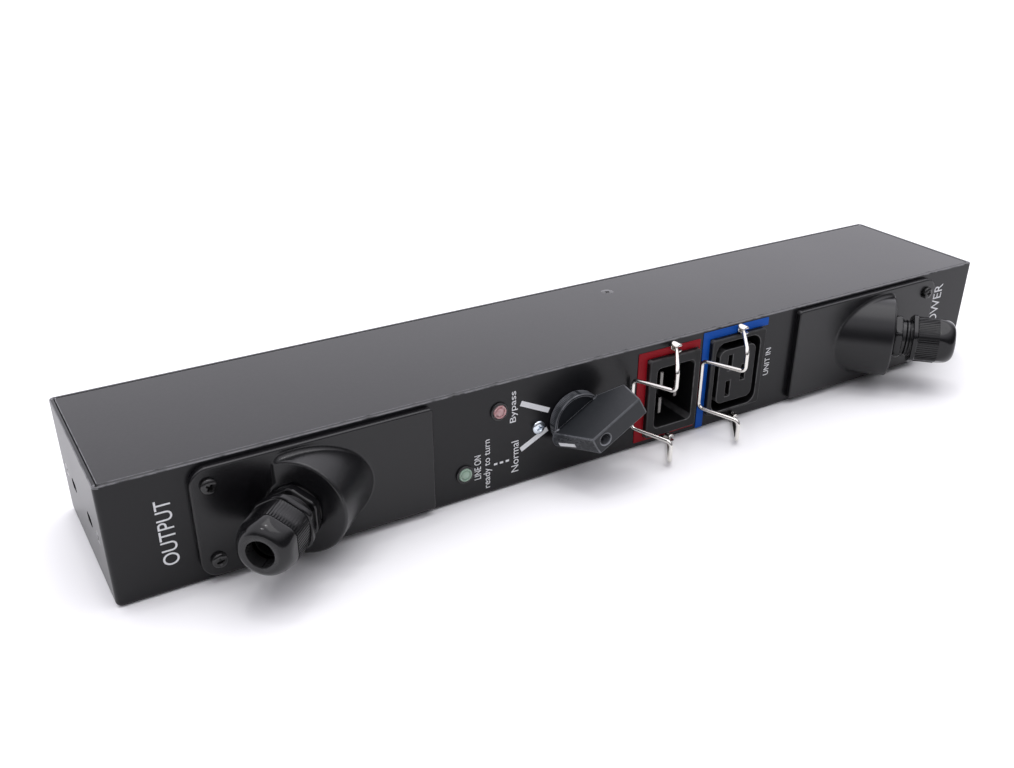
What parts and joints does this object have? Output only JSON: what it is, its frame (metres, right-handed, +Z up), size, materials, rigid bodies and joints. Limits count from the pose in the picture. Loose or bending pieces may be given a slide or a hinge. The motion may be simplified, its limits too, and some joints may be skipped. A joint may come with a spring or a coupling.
{
  "type": "maintenance bypass panel",
  "caption": "Long low steel power bypass box with a rotary changeover switch, inlet and outlet with wire bails, lamps and two angled cable glands.",
  "frame": {"origin": "centre of the flat underside of the steel box", "axes": "+X along the long box towards the input end, -Y out of the front panel, +Z up"},
  "size_m": [0.44, 0.1119, 0.0495],
  "materials": {
    "black_powder_coat": "satin",
    "black_screw": "satin",
    "blue_label": "satin",
    "circuit_board": "satin",
    "connector_plastic": "satin",
    "contact_brass": "satin",
    "gland_nylon": "gloss",
    "green_lens": "translucent",
    "handle_plastic": "matte",
    "hood_plastic": "satin",
    "nickel_plate": "bright",
    "red_label": "satin",
    "red_lens": "translucent",
    "seal_rubber": "matte",
    "zinc_steel": "bright zinc plating"
  },
  "bodies": {
    "enclosure": {"earth_nut": "contact_brass", "earth_stud": "contact_brass", "enclosure": "black_powder_coat", "green_lamp_bezel": "black_screw", "green_lamp_lens": "green_lens", "inlet_bail_post_lower": "nickel_plate", "inlet_bail_post_upper": "nickel_plate", "inlet_housing": "connector_plastic", "inlet_label": "red_label", "inlet_pin_earth": "nickel_plate", "inlet_pin_line": "nickel_plate", "inlet_pin_neutral": "nickel_plate", "input_gland_body": "gland_nylon", "input_gland_locknut": "gland_nylon", "input_gland_seal": "seal_rubber", "input_gland_washer": "seal_rubber", "input_hood": "hood_plastic", "input_hood_screw_lower": "black_screw", "input_hood_screw_upper": "black_screw", "input_terminal_block": "connector_plastic", "lamp_board": "circuit_board", "lid": "black_powder_coat", "lid_pillar": "zinc_steel", "lid_screw_left_front": "black_screw", "lid_screw_left_rear": "black_screw", "lid_screw_right_front": "black_screw", "lid_screw_right_rear": "black_screw", "lid_top_screw": "black_screw", "outlet_bail_post_lower": "nickel_plate", "outlet_bail_post_upper": "nickel_plate", "outlet_contact_earth": "contact_brass", "outlet_contact_line": "contact_brass", "outlet_contact_neutral": "contact_brass", "outlet_housing": "connector_plastic", "outlet_label": "blue_label", "output_gland_body": "gland_nylon", "output_gland_locknut": "gland_nylon", "output_gland_seal": "seal_rubber", "output_gland_washer": "seal_rubber", "output_hood": "hood_plastic", "output_hood_screw_lower": "black_screw", "output_hood_screw_upper": "black_screw", "output_terminal_block": "connector_plastic", "red_lamp_bezel": "black_screw", "red_lamp_lens": "red_lens", "switch_body": "connector_plastic", "switch_screw_left": "zinc_steel", "switch_screw_right": "zinc_steel"},
    "handle": {"switch_handle": "handle_plastic", "switch_handle_screw": "zinc_steel", "switch_spindle": "zinc_steel", "switch_cams": "connector_plastic"},
    "inlet_bail": {"inlet_bail": "nickel_plate"},
    "outlet_bail": {"outlet_bail": "nickel_plate"},
    "output_gland_clamp": {"output_gland_clamp": "gland_nylon"},
    "input_gland_clamp": {"input_gland_clamp": "gland_nylon"},
    "output_gland_nut": {"output_gland_nut": "gland_nylon"},
    "input_gland_nut": {"input_gland_nut": "gland_nylon"}
  },
  "joints": [
    {"name": "changeover", "type": "hinge", "parent": "enclosure", "child": "handle", "pos_m": [-0.0287, -0.0384, 0.0255], "axis": [0, 1, 0], "range_deg": [0, 60]},
    {"name": "inlet_bail_swing", "type": "hinge", "parent": "enclosure", "child": "inlet_bail", "pos_m": [0.0225, -0.041, 0.0246], "axis": [0, 0, 1], "range_deg": [0, 90]},
    {"name": "outlet_bail_swing", "type": "hinge", "parent": "enclosure", "child": "outlet_bail", "pos_m": [0.0608, -0.041, 0.0246], "axis": [0, 0, 1], "range_deg": [0, 90]},
    {"name": "output_gland_travel", "type": "slide", "parent": "enclosure", "child": "output_gland_clamp", "axis": [-0.7071, -0.7071, 0], "range_m": [0, 0.003]},
    {"name": "output_gland_turn", "type": "hinge", "parent": "output_gland_clamp", "child": "output_gland_nut", "pos_m": [-0.1648, -0.0567, 0.0252], "axis": [-0.7071, -0.7071, 0], "range_deg": [0, 720]},
    {"name": "input_gland_travel", "type": "slide", "parent": "enclosure", "child": "input_gland_clamp", "axis": [0.7071, -0.7071, 0], "range_m": [0, 0.003]},
    {"name": "input_gland_turn", "type": "hinge", "parent": "input_gland_clamp", "child": "input_gland_nut", "pos_m": [0.1648, -0.0567, 0.0252], "axis": [0.7071, -0.7071, 0], "range_deg": [0, 720]}
  ],
  "couplings": [
    {"joint": "output_gland_travel", "follows": "output_gland_turn", "m_per_rad": 0.00023873},
    {"joint": "input_gland_travel", "follows": "input_gland_turn", "m_per_rad": 0.00023873}
  ]
}
